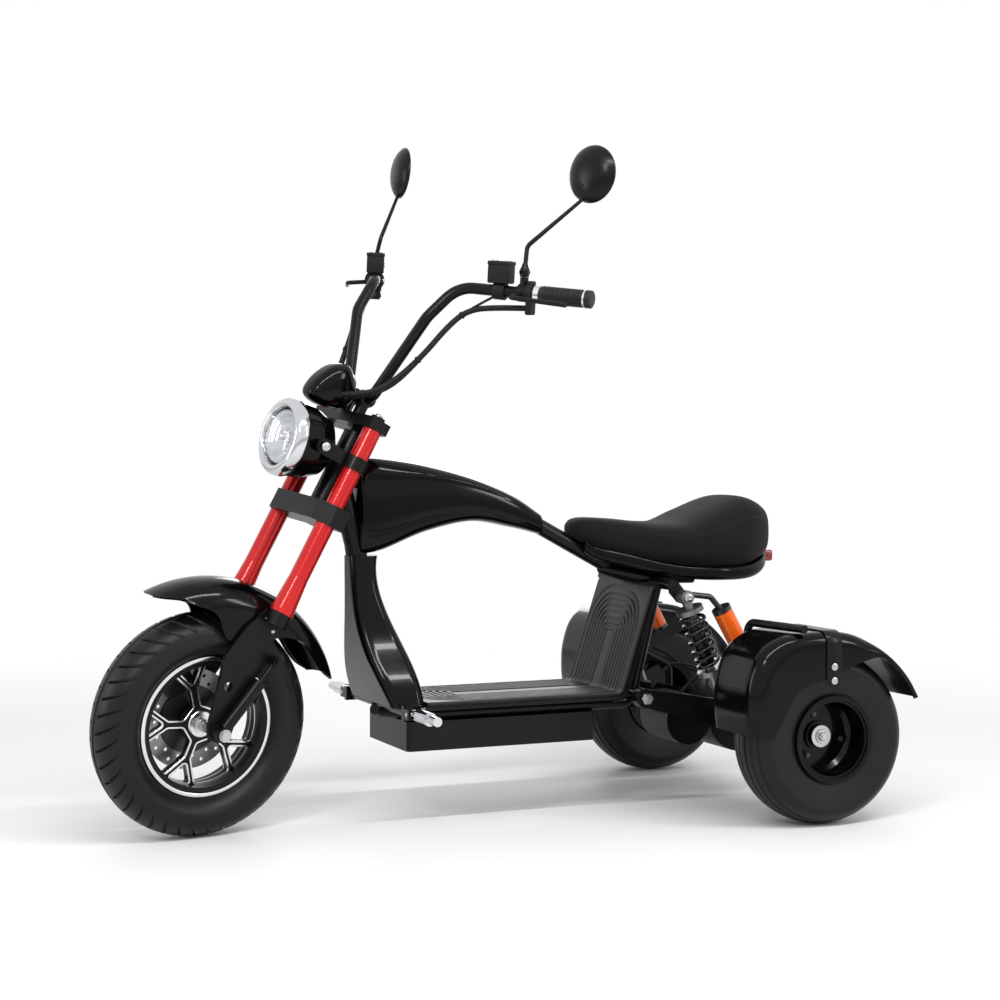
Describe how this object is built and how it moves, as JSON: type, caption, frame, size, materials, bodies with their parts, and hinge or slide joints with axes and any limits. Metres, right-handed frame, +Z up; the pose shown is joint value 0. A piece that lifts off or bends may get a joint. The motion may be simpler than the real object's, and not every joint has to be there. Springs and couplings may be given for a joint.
{
  "type": "electric tricycle",
  "caption": "Chopper-style electric tricycle with a wide front wheel, tall handlebar, step-through floor, swing-arm rear axle, saddle and folding foot pegs.",
  "frame": {"origin": "floor point under the middle of the whole outline", "axes": "+X forward, +Y to the rider's left, +Z up"},
  "size_m": [1.552, 0.8906, 1.3786],
  "materials": {
    "rubber_tread": "matte",
    "black_cast": "satin",
    "steel": "machined",
    "red_tube": "gloss",
    "black_frame": "satin",
    "chrome_bright": "polished",
    "gloss_black": "gloss",
    "matte_black": "matte",
    "lens": "clear",
    "mirror_glass": "silvered",
    "grip_rubber": "matte",
    "mat_rubber": "ribbed",
    "seat_cloth": "suede",
    "red_lens": "gloss",
    "orange_can": "gloss",
    "spring_black": "gloss",
    "guard_black": "gloss",
    "alloy": "cast"
  },
  "bodies": {
    "chassis": {"frame": "black_frame", "body_shell": "gloss_black", "leg_fairing": "gloss_black", "floor_pan": "black_frame", "floor_mat": "mat_rubber", "battery_box": "black_frame", "seat_cushion": "seat_cloth", "seat_pan": "matte_black", "tail_light": "red_lens", "swing_arm": "black_frame", "rear_axle": "black_frame", "motor": "black_cast", "rear_shocks": "alloy", "rear_springs": "spring_black", "rear_reservoirs": "orange_can", "rear_mudguard_left": "guard_black", "rear_mudguard_right": "guard_black", "guard_straps": "black_frame", "grab_rails": "black_frame", "peg_brackets": "black_frame"},
    "steering": {"fork_tubes": "red_tube", "fork_legs": "black_cast", "front_dampers": "black_frame", "front_spindle": "steel", "brake_caliper": "black_cast", "lower_clamp": "black_cast", "upper_yoke": "black_cast", "lamp_bracket": "black_frame", "front_mudguard": "guard_black", "headlight_bowl": "gloss_black", "headlight_bezel": "chrome_bright", "headlight_lens": "lens", "handlebar": "black_frame", "grips": "grip_rubber", "brake_levers": "black_cast", "brake_reservoirs": "black_cast", "switch_pods": "matte_black", "mirrors": "matte_black", "mirror_glasses": "mirror_glass", "display": "gloss_black", "wiring": "matte_black"},
    "front_wheel": {"front_tyre": "rubber_tread", "front_rim": "black_cast", "brake_disc": "steel"},
    "rear_wheel_left": {"rear_tyre_left": "rubber_tread", "rear_rim_left": "black_frame"},
    "rear_wheel_right": {"rear_tyre_right": "rubber_tread", "rear_rim_right": "black_frame"},
    "peg_left": {"peg_left": "chrome_bright"},
    "peg_right": {"peg_right": "chrome_bright"}
  },
  "joints": [
    {"name": "steering_turn", "type": "hinge", "parent": "chassis", "child": "steering", "pos_m": [0.5337, 0, 0.217], "axis": [-0.4695, 0, 0.8829], "range_deg": [-48.3, 21.7]},
    {"name": "front_wheel_spin", "type": "hinge", "parent": "steering", "child": "front_wheel", "pos_m": [0.56209, 0.00589, 0.21668], "axis": [-0.2031, 0.9732, -0.108], "continuous": true},
    {"name": "rear_wheel_left_spin", "type": "hinge", "parent": "chassis", "child": "rear_wheel_left", "pos_m": [-0.5933, 0.3515, 0.172], "axis": [0, 1, 0], "continuous": true},
    {"name": "rear_wheel_right_spin", "type": "hinge", "parent": "chassis", "child": "rear_wheel_right", "pos_m": [-0.5933, -0.3515, 0.172], "axis": [0, 1, 0], "continuous": true},
    {"name": "peg_left_fold", "type": "hinge", "parent": "chassis", "child": "peg_left", "pos_m": [0.1917, 0.186, 0.236], "axis": [1, 0, 0], "range_deg": [0, 85]},
    {"name": "peg_right_fold", "type": "hinge", "parent": "chassis", "child": "peg_right", "pos_m": [0.1917, -0.186, 0.236], "axis": [-1, 0, 0], "range_deg": [0, 85]}
  ]
}
